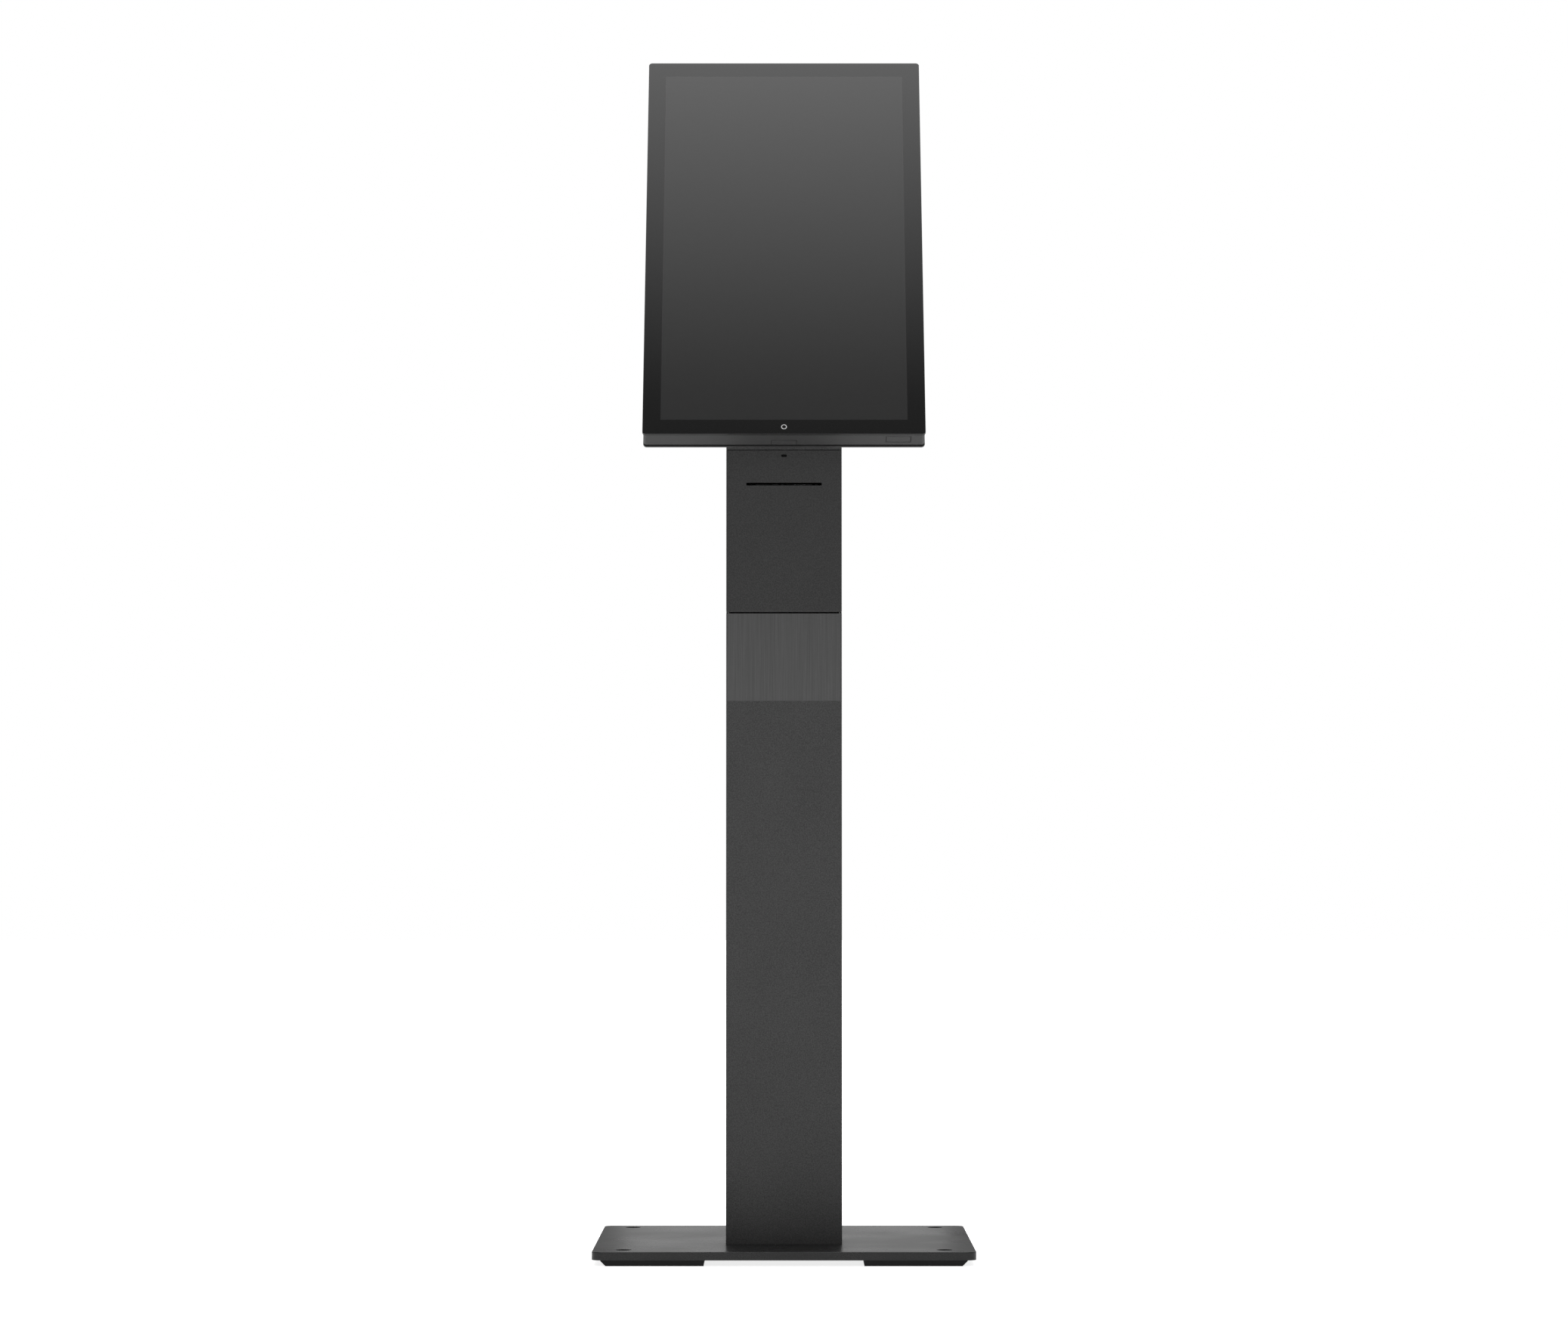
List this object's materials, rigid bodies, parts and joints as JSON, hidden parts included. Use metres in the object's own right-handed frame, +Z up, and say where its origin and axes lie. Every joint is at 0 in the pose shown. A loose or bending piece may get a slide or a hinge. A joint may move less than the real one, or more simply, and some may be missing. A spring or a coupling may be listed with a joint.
{
  "type": "touchscreen kiosk",
  "caption": "Floor-standing touch kiosk: flat base plate, slim column with a receipt slot and service doors, and a tilting portrait display.",
  "frame": {"origin": "on the floor, at the centre of the base plate", "axes": "+X to the user's right, +Y to the back, +Z up"},
  "size_m": [0.455, 0.442, 1.4828],
  "materials": {
    "base_paint": "fine powder coat",
    "column_paint": "fine powder coat",
    "brushed_steel": "vertical brushed, dark",
    "head_plastic": "fine textured",
    "cover_glass": "black back-printed gloss",
    "black_rubber": "matt",
    "zinc_steel": "zinc plated",
    "black_plastic": "moulded",
    "lens_plastic": "smoked, polished",
    "chrome_lock": "plated",
    "aluminium": "extruded",
    "circuit_board": "solder resist",
    "paper": "thermal paper",
    "lcd_panel": "panel in a steel bezel"
  },
  "bodies": {
    "column": {"base_plate": "base_paint", "feet": "black_rubber", "foot_screws": "zinc_steel", "cable_grommet": "black_rubber", "column_flange": "zinc_steel", "column_bolts": "zinc_steel", "column_spine": "column_paint", "lower_cover": "column_paint", "brushed_panel": "brushed_steel", "cover_rails": "zinc_steel", "cover_studs": "zinc_steel", "top_cover": "column_paint", "service_hinge_pins": "zinc_steel", "printer_door_pins": "zinc_steel", "door_catch": "black_plastic", "tilt_yoke": "zinc_steel", "yoke_screws": "zinc_steel", "tilt_pin": "zinc_steel", "friction_washers": "zinc_steel", "printer_frame": "zinc_steel", "roll_spindle": "black_plastic", "stepper_motor": "zinc_steel", "print_head": "aluminium", "cutter_frame": "zinc_steel", "printer_board": "circuit_board", "power_supply": "zinc_steel", "mains_inlet": "black_plastic"},
    "display": {"vesa_plate": "zinc_steel", "vesa_fixings": "zinc_steel", "cover_glass": "cover_glass", "glass_tape": "black_rubber", "head_housing": "head_plastic", "centre_cover": "head_plastic", "port_pocket": "black_plastic", "lcd_panel": "lcd_panel", "mid_frame": "zinc_steel", "seam_gasket": "black_rubber", "rear_cover": "head_plastic", "cover_fixings": "zinc_steel", "display_boards": "circuit_board", "heat_sink": "aluminium", "fan_frame": "black_plastic", "speakers": "black_plastic"},
    "flap": {"port_flap": "head_plastic"},
    "display_button": {"power_button": "black_plastic"},
    "fan": {"fan_rotor": "black_plastic"},
    "paper_door": {"printer_door": "column_paint", "slot_liner": "black_plastic", "status_lens": "lens_plastic", "door_keeper": "zinc_steel"},
    "rear_door": {"service_door": "column_paint", "lock_body": "chrome_lock"},
    "lock": {"lock_plug": "chrome_lock"},
    "roll": {"paper_roll": "paper"},
    "platen": {"platen_roller": "black_rubber", "platen_drive": "zinc_steel"},
    "motor": {"motor_pinion": "zinc_steel"},
    "blade": {"cutter_blade": "zinc_steel"},
    "feed_key": {"feed_button": "black_plastic"},
    "rocker": {"switch_rocker": "black_plastic"}
  },
  "joints": [
    {"name": "display_tilt", "type": "hinge", "parent": "column", "child": "display", "pos_m": [0, -0.01471, 1.13624], "axis": [1, 0, 0], "range_deg": [-15, 0]},
    {"name": "printer_door_drop", "type": "hinge", "parent": "column", "child": "paper_door", "pos_m": [0, -0.099, 0.7826], "axis": [1, 0, 0], "range_deg": [0, 80]},
    {"name": "service_door_swing", "type": "hinge", "parent": "column", "child": "rear_door", "pos_m": [-0.052, 0.019, 0.41], "axis": [0, 0, 1], "range_deg": [0, 100]},
    {"name": "lock_turn", "type": "hinge", "parent": "rear_door", "child": "lock", "pos_m": [0.04, 0.023, 0.41], "axis": [0, -1, 0], "range_deg": [0, 90]},
    {"name": "port_flap_swing", "type": "hinge", "parent": "display", "child": "flap", "pos_m": [0, -0.17184, 0.98674], "axis": [-1, 0, 0], "range_deg": [0, 95]},
    {"name": "power_button_press", "type": "slide", "parent": "display", "child": "display_button", "axis": [0, 0.498, 0.8672], "range_m": [0, 0.0008], "stiffness_N_per_m": 600},
    {"name": "fan_spin", "type": "hinge", "parent": "display", "child": "fan", "pos_m": [0.032, 0.05519, 1.33827], "axis": [0, 0.8672, -0.498], "continuous": true},
    {"name": "paper_roll_spin", "type": "hinge", "parent": "column", "child": "roll", "pos_m": [0, -0.036, 0.8316], "axis": [1, 0, 0], "continuous": true},
    {"name": "platen_spin", "type": "hinge", "parent": "column", "child": "platen", "pos_m": [0, -0.078, 0.9281], "axis": [1, 0, 0], "continuous": true},
    {"name": "motor_spin", "type": "hinge", "parent": "column", "child": "motor", "pos_m": [0, -0.07139, 0.90995], "axis": [1, 0, 0], "continuous": true},
    {"name": "cutter_stroke", "type": "slide", "parent": "column", "child": "blade", "axis": [0, 0, 1], "range_m": [0, 0.005]},
    {"name": "feed_button_press", "type": "slide", "parent": "column", "child": "feed_key", "axis": [0, 1, 0], "range_m": [0, 0.0015], "stiffness_N_per_m": 300},
    {"name": "rocker_tip", "type": "hinge", "parent": "column", "child": "rocker", "pos_m": [0.03, 0.0224, 0.082], "axis": [1, 0, 0], "range_deg": [-18, 0]}
  ],
  "couplings": [
    {"joint": "motor_spin", "follows": "platen_spin", "ratio": -3}
  ]
}
